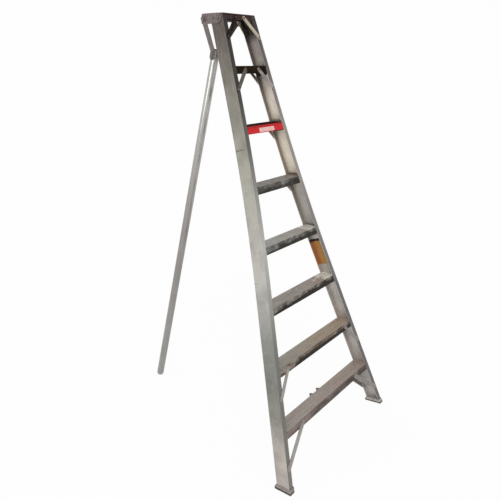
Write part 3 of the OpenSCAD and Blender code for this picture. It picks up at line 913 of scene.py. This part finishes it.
    # The pole's run grows lighter towards the top: a painted highlight.
    POLE = MetalFinish("mill_pole", linear(156, 154, 152), linear(112, 110, 107), linear(206, 205, 203),
                       metallic=0.7, rough=(0.16, 0.24), grain=Grain.POLE, stain=0.3, wear=0.2, streak=0.5,
                       run=((-0.2, linear(150, 148, 146)), (0.9, linear(147, 143, 140)),
                            (1.7, linear(178, 176, 172))))
    RUBBER = RubberFinish("worn_rubber", linear(40, 37, 35), linear(86, 80, 75))
    BAND = PaintFinish("red_band", linear(198, 14, 22), linear(204, 48, 50))
    PATCH = PaintFinish("pale_patch", linear(226, 172, 168), linear(240, 212, 206))
    PANEL = PaintFinish("amber_panel", linear(170, 122, 56), linear(178, 138, 78), linear(164, 108, 66))
    STRIP = PaintFinish("dark_strip", linear(48, 30, 24), linear(76, 58, 48))

    def __init__(self) -> None:
        """Starts with no material made."""
        self.made: dict[str, bpy.types.Material] = {}

    def get(self, finish: Finish) -> bpy.types.Material:
        """Gives a finish's material and makes it the first time.

        Args:
            finish: The finish to give.

        Returns:
            Its material.
        """
        if finish.name not in self.made:
            self.made[finish.name] = finish.make()
        return self.made[finish.name]


def dress(finishes: Finishes, finish: Finish, nodes: Iterable[str]) -> None:
    """Gives carried-over nodes a finish.

    Args:
        finishes: The store of materials.
        finish: The finish to give.
        nodes: Names of the nodes.
    """
    material = finishes.get(finish)
    for name in nodes:
        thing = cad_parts[name]
        if not thing.material_slots:
            thing.data.materials.append(material)
        for held in thing.material_slots:
            held.material = material
        log.info("node %s wears %s", name, finish.name)


def piece_from(name: str, points: Sequence[Vector], faces: Sequence[Sequence[int]],
               material: bpy.types.Material) -> bpy.types.Object:
    """Makes a mesh piece that rides on the ladder.

    Args:
        name: Name of the piece.
        points: Its vertices.
        faces: Its faces as vertex numbers.
        material: Its material.

    Returns:
        The new object.
    """
    mesh = bpy.data.meshes.new(name)
    mesh.from_pydata([tuple(p) for p in points], [], [tuple(f) for f in faces])
    work = bmesh.new()
    work.from_mesh(mesh)
    bmesh.ops.recalc_face_normals(work, faces=work.faces)
    work.to_mesh(mesh)
    work.free()
    mesh.materials.append(material)
    thing = bpy.data.objects.new(name, mesh)
    bpy.context.scene.collection.objects.link(thing)
    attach(thing, "ladder")
    log.info("piece %s has %d faces", name, len(mesh.polygons))
    return thing


def film(name: str, rows: Sequence[Sequence[Vector]], out: Vector, thickness: float,
         material: bpy.types.Material, rim_share: float = 0.55) -> bpy.types.Object:
    """Makes a thin film over a grid of points, with edges that fall off.

    Args:
        name: Name of the piece.
        rows: Rows of points on the surface that carries the film.
        out: Direction away from that surface.
        thickness: Thickness of the film.
        material: Its material.
        rim_share: Share of the thickness that the rim keeps.

    Returns:
        The new object.
    """
    count, width = len(rows), len(rows[0])
    points = [p.copy() for row in rows for p in row]
    for i, row in enumerate(rows):
        for j, p in enumerate(row):
            rim = i in (0, count - 1) or j in (0, width - 1)
            points.append(p + out * (thickness * (rim_share if rim else 1.0)))
    half = count * width
    faces: list[tuple[int, ...]] = []
    for i in range(count - 1):
        for j in range(width - 1):
            a = i * width + j
            faces.append((a, a + 1, a + width + 1, a + width))
            faces.append((half + a, half + a + width, half + a + width + 1, half + a + 1))
    ring = [*range(width), *(i * width + width - 1 for i in range(1, count)),
            *range(half - 2, half - width - 1, -1), *(i * width for i in range(count - 2, 0, -1))]
    for a, b in zip(ring, ring[1:] + ring[:1]):
        faces.append((a, b, half + b, half + a))
    return piece_from(name, points, faces, material)


@dataclass
class SideRails:
    """The two bent channels that carry everything."""

    left: str = "left_rail"
    right: str = "right_rail"

    def build(self, finishes: Finishes) -> None:
        """Dresses the rails."""
        dress(finishes, Finishes.RAILS[Side.LEFT], [self.left])
        dress(finishes, Finishes.RAILS[Side.RIGHT], [self.right])


@dataclass
class Treads:
    """The seven ribbed treads and the cap above them."""

    cap: str = "top_cap"

    def build(self, finishes: Finishes) -> None:
        """Dresses the treads and the cap.

        Args:
            finishes: The store of materials.
        """
        for finish in Finishes.TREADS:
            dress(finishes, finish, [f"step_{finish.number}"])
        dress(finishes, Finishes.CAP, [self.cap])


@dataclass
class Braces:
    """The flat bars in the corners under the treads."""

    low: tuple[str, ...] = ("braces_1", "braces_2")
    middle: tuple[str, ...] = ("braces_5", "braces_6")
    top: str = "braces_7"
    cap: str = "cap_braces"

    def build(self, finishes: Finishes) -> None:
        """Dresses the braces.

        Args:
            finishes: The store of materials.
        """
        dress(finishes, Finishes.BRACE, self.low)
        dress(finishes, Finishes.MID_BRACE, self.middle)
        dress(finishes, Finishes.TOP_BRACE, [self.top])
        dress(finishes, Finishes.CAP_BRACE, [self.cap])


@dataclass
class Fasteners:
    """The rivets of the treads, braces, feet and cradle."""

    nodes: tuple[str, ...] = ("brace_rivets_front", "brace_rivets_rear", "boot_rivets", "cradle_rivets")
    left: str = "web_rivets_left"
    right: str = "web_rivets_right"

    def build(self, finishes: Finishes) -> None:
        """Dresses the rivets, those of the webs as weathered as their rail.

        Args:
            finishes: The store of materials.
        """
        dress(finishes, Finishes.RIVET, self.nodes)
        dress(finishes, Finishes.RAILS[Side.LEFT], [self.left])
        dress(finishes, Finishes.RAILS[Side.RIGHT], [self.right])


@dataclass
class Feet:
    """The boots on the rail ends and their soles."""

    boots: tuple[str, ...] = ("boot_left", "boot_right")
    soles: tuple[str, ...] = ("sole_left", "sole_right")

    def build(self, finishes: Finishes) -> None:
        """Dresses the boots and the soles."""
        dress(finishes, Finishes.BOOT, self.boots)
        dress(finishes, Finishes.RUBBER, self.soles)


@dataclass
class Hinge:
    """The plates, rod and fasteners that carry the pole."""

    plates: tuple[str, ...] = ("hinge_plate_left", "hinge_plate_right")
    steel: tuple[str, ...] = ("plate_bolts", "plate_nuts", "hinge_rod", "hinge_washers", "hinge_nuts")

    def build(self, finishes: Finishes) -> None:
        """Dresses the hinge."""
        dress(finishes, Finishes.PLATE, self.plates)
        dress(finishes, Finishes.STEEL, self.steel)


@dataclass
class Cradle:
    """The bracket on the lowest tread that holds the folded pole."""

    node: str = "pole_cradle"

    def build(self, finishes: Finishes) -> None:
        """Dresses the cradle."""
        dress(finishes, Finishes.PLATE, [self.node])


@dataclass
class TripodLeg:
    """The pole with its yoke, plug and tip."""

    pole: tuple[str, ...] = ("tripod_pole", "pole_tip")
    yoke: tuple[str, ...] = ("yoke_strap_left", "yoke_strap_right")
    steel: tuple[str, ...] = ("yoke_bolts", "yoke_nuts")
    rubber: tuple[str, ...] = ("pole_plug",)

    def build(self, finishes: Finishes) -> None:
        """Dresses the leg.

        Args:
            finishes: The store of materials.
        """
        dress(finishes, Finishes.POLE, self.pole)
        dress(finishes, Finishes.YOKE, self.yoke)
        dress(finishes, Finishes.STEEL, self.steel)
        dress(finishes, Finishes.RUBBER, self.rubber)


@dataclass
class ColourBand:
    """The red band on the front of the sixth tread, with a bare pale patch.

    Attributes:
        tread: Number of the tread that carries it.
        lip: Upper and lower edge on the nosing, below the tread's middle along the rails.
        face: Upper and lower edge on the flange.
        patch: Upper and lower edge of the patch.
        patch_ends: Ends of the patch, from -1 at the left to 1 at the right.
        patch_thickness: Thickness of the patch.
        nosing: Reach of the nosing in front of the flange.
        gap: Distance from the rails' flange tips.
        thickness: Thickness of the band.
        rim: Width of the rim at both ends, on the same scale as the ends.
        columns: Number of parts of the width.
        shares: Places of the rows between the lower and the upper edge.
        slot: Material slot of the record that it belongs to; not used.
    """

    tread: int = 6
    lip: tuple[float, float] = (0.0122, 0.0174)
    face: tuple[float, float] = (0.0182, 0.0498)
    patch: tuple[float, float] = (0.0245, 0.0462)
    patch_ends: tuple[float, float] = (-0.38, 0.46)
    patch_thickness: float = 0.0002
    nosing: float = 0.002
    gap: float = 0.0012
    thickness: float = 0.0005
    rim: float = 0.004
    columns: int = 14
    shares: tuple[float, ...] = (0.0, 0.04, 0.25, 0.5, 0.75, 0.96, 1.0)
    slot: str = "tread_aluminium"

    def rows(self, ends: tuple[float, float], edges: tuple[float, float], lift: float) -> list[list[Vector]]:
        """Gives a grid of points in front of the tread's flange.

        Args:
            ends: Ends of the width, from -1 at the left end to 1 at the right.
            edges: Upper and lower edge below the tread's middle, along the rails.
            lift: Distance in front of the flange.

        Returns:
            Rows of points from the lower edge to the upper one.
        """
        low, high = ends
        inner = [low + (high - low) * j / self.columns for j in range(1, self.columns)]
        spots = [low, low + self.rim, *inner, high - self.rim, high]
        grid = []
        for share in self.shares:
            along = PLAN.step(self.tread) - edges[1] + (edges[1] - edges[0]) * share
            edge = PLAN.half_width(along) - PLAN.rail_flange - self.gap
            grid.append([PLAN.at(edge * s, -PLAN.half_depth - lift, along) for s in spots])
        return grid

    def build(self, finishes: Finishes) -> None:
        """Builds the band on flange and nosing, and its patch.

        Args:
            finishes: The store of materials.
        """
        out = PLAN.at(0.0, -1.0, 0.0) - PLAN.at(0.0, 0.0, 0.0)
        whole = (-1.0, 1.0)
        red = finishes.get(Finishes.BAND)
        film("colour_band", self.rows(whole, self.face, 0.0), out, self.thickness, red)
        film("band_lip", self.rows(whole, self.lip, self.nosing), out, self.thickness, red)
        film("band_patch", self.rows(self.patch_ends, self.patch, self.thickness), out, self.patch_thickness,
             finishes.get(Finishes.PATCH))


@dataclass
class BlankPanel:
    """The amber panel inside the right rail, under the fourth tread.

    It covers the web and turns on to the rear flange.

    Attributes:
        low: Lower edge, along the rails.
        high: Upper edge, along the rails.
        strip: Height of the dark strip at its top.
        thickness: Thickness of the panel.
        clear: Distance from the rail's faces and edges.
        inset: Distance from the tip of the rail's flange.
        parts: Number of parts of the height.
        web_shares: Places of the points across the web, from -1 at the front to 1 at the rear.
        flange_shares: Places of the points across the flange, from its tip to the web.
        slot: Material slot of the record that it belongs to; not used.
    """

    low: float = 0.968
    high: float = 1.128
    strip: float = 0.016
    thickness: float = 0.0006
    clear: float = 0.00005
    inset: float = 0.001
    parts: int = 12
    web_shares: tuple[float, ...] = (-1.0, -0.98, -0.5, 0.0, 0.5, 0.96, 0.98)
    flange_shares: tuple[float, ...] = (0.0, 0.02, 0.35, 0.7, 0.98, 1.0)
    slot: str = "rail_aluminium"

    def heights(self, low: float, high: float) -> list[float]:
        """Gives even places along the rails from one edge to the other."""
        return [low + (high - low) * i / self.parts for i in range(self.parts + 1)]

    def web_rows(self, low: float, high: float) -> list[list[Vector]]:
        """Gives a grid of points on the inner face of the rail's web.

        Args:
            low: Lower edge, along the rails.
            high: Upper edge, along the rails.

        Returns:
            Rows of points from the lower edge to the upper one.
        """
        half = PLAN.half_depth - PLAN.rail_wall - self.clear
        grid = []
        for along in self.heights(low, high):
            x = self.web(along)
            grid.append([PLAN.at(x, half * share, along) for share in self.web_shares])
        return grid

    def flange_rows(self, low: float, high: float) -> list[list[Vector]]:
        """Gives a grid of points on the inner face of the rail's rear flange.

        Args:
            low: Lower edge, along the rails.
            high: Upper edge, along the rails.

        Returns:
            Rows of points from the lower edge to the upper one.
        """
        behind = PLAN.half_depth - PLAN.rail_wall - self.clear
        grid = []
        for along in self.heights(low, high):
            tip = PLAN.half_width(along) - PLAN.rail_flange + self.inset
            width = self.web(along) - self.thickness - self.clear - tip
            grid.append([PLAN.at(tip + width * share, behind, along) for share in self.flange_shares])
        return grid

    def web(self, along: float) -> float:
        """Gives the place of the web's inner face at a distance along the rails."""
        return PLAN.half_width(along) - PLAN.rail_wall / math.cos(PLAN.flare) - self.clear

    def build(self, finishes: Finishes) -> None:
        """Builds the panel and its strip.

        Args:
            finishes: The store of materials.
        """
        left = Vector((-1.0, 0.0, 0.0))
        front = PLAN.at(0.0, -1.0, 0.0) - PLAN.at(0.0, 0.0, 0.0)
        seam = self.high - self.strip
        for name, finish, low, high in (("rail_panel", Finishes.PANEL, self.low, seam),
                                        ("panel_strip", Finishes.STRIP, seam, self.high)):
            material = finishes.get(finish)
            film(name, self.web_rows(low, high), left, self.thickness, material)
            film(f"{name}_turn", self.flange_rows(low, high), front, self.thickness, material)


@dataclass
class Studio:
    """A pale floor, a white surround and soft lamps.

    Attributes:
        floor_half: Half of the floor's width.
        floor_white: Share of plain white in the floor where it is seen.
        backdrop: Level of the surround where it is seen.
        fill: Level of the light from all round.
        key: Strength of the main lamp.
        key_towards: Direction in which its light goes.
        key_softness: Angle that it covers, in degrees.
        key_height: Height at which it hangs.
        side: Power of the low panel lamp at the left, in watts.
        side_place: Where that lamp stands.
        side_target: Point that it faces.
        side_size: Its width and height.
        lamps: The lamps that hang in the studio.
    """

    floor_half: float = 60.0
    floor_white: float = 0.94
    backdrop: float = 0.988
    fill: float = 0.62
    key: float = 1.2
    key_towards: Point = (0.64, 0.56, -0.52)
    key_softness: float = 30.0
    key_height: float = 4.0
    side: float = 23.0
    side_place: Point = (-3.9, 0.25, 1.4)
    side_target: Point = (0.0, 0.2, 1.75)
    side_size: tuple[float, float] = (2.8, 1.0)
    lamps: list[bpy.types.Object] = field(default_factory=list)

    def seen(self, bench: NodeBench) -> Socket:
        """Marks rays from the camera, from metal and through glass.

        Args:
            bench: Bench of the node tree.

        Returns:
            Socket with 1 on such rays.
        """
        rays = bench.node("ShaderNodeLightPath").outputs
        seen = bench.combine("MAXIMUM", rays["Is Camera Ray"], rays["Is Glossy Ray"])
        return bench.combine("MAXIMUM", seen, rays["Is Transmission Ray"])

    def floor(self) -> None:
        """Builds the floor, nearly white and still shaded by the ladder."""
        size = self.floor_half
        mesh = bpy.data.meshes.new("studio_floor")
        mesh.from_pydata([(-size, -size, 0.0), (size, -size, 0.0), (size, size, 0.0), (-size, size, 0.0)],
                         [], [(0, 1, 2, 3)])
        thing = bpy.data.objects.new("studio_floor", mesh)
        bpy.context.scene.collection.objects.link(thing)
        bench = MaterialBench("pale_floor")
        bench.shader.inputs["Base Color"].default_value = (0.97, 0.97, 0.97, 1.0)
        bench.feed("Roughness", 0.9)
        glow = bench.node("ShaderNodeEmission")
        mix = bench.node("ShaderNodeMixShader")
        bench.link(bench.span(self.seen(bench), 0.0, 1.0, 0.0, self.floor_white), mix.inputs["Fac"])
        bench.link(bench.shader.outputs["BSDF"], mix.inputs[1])
        bench.link(glow.outputs["Emission"], mix.inputs[2])
        bench.link(mix.outputs["Shader"], bench.output.inputs["Surface"])
        mesh.materials.append(bench.material)

    def surround(self) -> None:
        """Sets the world: white where it is seen, a plain level elsewhere."""
        world = bpy.data.worlds.new("studio")
        bpy.context.scene.world = world
        world.use_nodes = True
        bench = NodeBench(world.node_tree)
        back = world.node_tree.nodes["Background"]
        bench.link(bench.span(self.seen(bench), 0.0, 1.0, self.fill, self.backdrop), back.inputs["Strength"])
        back.inputs["Color"].default_value = (1.0, 1.0, 1.0, 1.0)

    def key_lamp(self) -> None:
        """Adds the broad distant main lamp."""
        data = bpy.data.lights.new("key_lamp", "SUN")
        data.energy = self.key
        data.angle = math.radians(self.key_softness)
        self.hang("key_lamp", data, Vector((0.0, 0.0, self.key_height)), Vector(self.key_towards))

    def side_panel(self) -> None:
        """Adds the low panel lamp that glints on the pole."""
        data = bpy.data.lights.new("side_panel", "AREA")
        data.shape = "RECTANGLE"
        data.energy = self.side
        data.size, data.size_y = self.side_size
        place = Vector(self.side_place)
        self.hang("side_panel", data, place, Vector(self.side_target) - place)

    def hang(self, name: str, data: bpy.types.Light, place: Vector, towards: Vector) -> None:
        """Puts a lamp in its place.

        Args:
            name: Name of the lamp.
            data: Its light.
            place: Where it hangs.
            towards: Direction in which its light goes.
        """
        thing = bpy.data.objects.new(name, data)
        thing.location = place
        thing.rotation_euler = towards.to_track_quat("-Z", "Y").to_euler()
        thing.visible_camera = False
        bpy.context.scene.collection.objects.link(thing)
        self.lamps.append(thing)

    def build(self) -> None:
        """Builds the whole studio."""
        self.floor()
        self.surround()
        self.key_lamp()
        self.side_panel()
        bpy.context.scene.view_settings.view_transform = "Standard"
        log.info("studio with %d lamps", len(self.lamps))


@dataclass(frozen=True)
class PhotoCamera:
    """The camera at the photograph's place.

    Attributes:
        place: Where it stands.
        right: Its right-hand direction.
        down: Its downward direction.
        forward: Its viewing direction.
        sensor: Width of the sensor in millimetres.
        lens: Focal length in millimetres.
        shift: Shift of the picture.
        reach: Greatest distance that it shows.
    """

    place: Point = (-2.66506, -2.04409, 2.04167)
    right: Point = (0.58209963, -0.81306094, -0.00958854)
    down: Point = (-0.26272015, -0.17690484, -0.9485161)
    forward: Point = (0.76950513, 0.55464997, -0.31658374)
    sensor: float = 36.0
    lens: float = 43.443
    shift: tuple[float, float] = (-0.01014, 0.0334)
    reach: float = 200.0

    def build(self) -> None:
        """Builds the camera and makes it the scene's own."""
        data = bpy.data.cameras.new("photo_camera")
        data.sensor_width = self.sensor
        data.lens = self.lens
        data.shift_x, data.shift_y = self.shift
        data.clip_end = self.reach
        thing = bpy.data.objects.new("photo_camera", data)
        turn = Matrix((Vector(self.right), -Vector(self.down), -Vector(self.forward))).transposed()
        thing.matrix_world = Matrix.Translation(Vector(self.place)) @ turn.to_4x4()
        bpy.context.scene.collection.objects.link(thing)
        bpy.context.scene.camera = thing
        log.info("camera at %s", self.place)


def main() -> None:
    """Builds the camera, the studio and every sub-assembly in order."""
    logging.basicConfig(level=logging.INFO, format="%(name)s: %(message)s")
    PhotoCamera().build()
    Studio().build()
    finishes = Finishes()
    for part in (SideRails(), Treads(), Braces(), Fasteners(), Feet(), Hinge(), Cradle(), TripodLeg(),
                 ColourBand(), BlankPanel()):
        part.build(finishes)


if __name__ == "__main__":
    main()
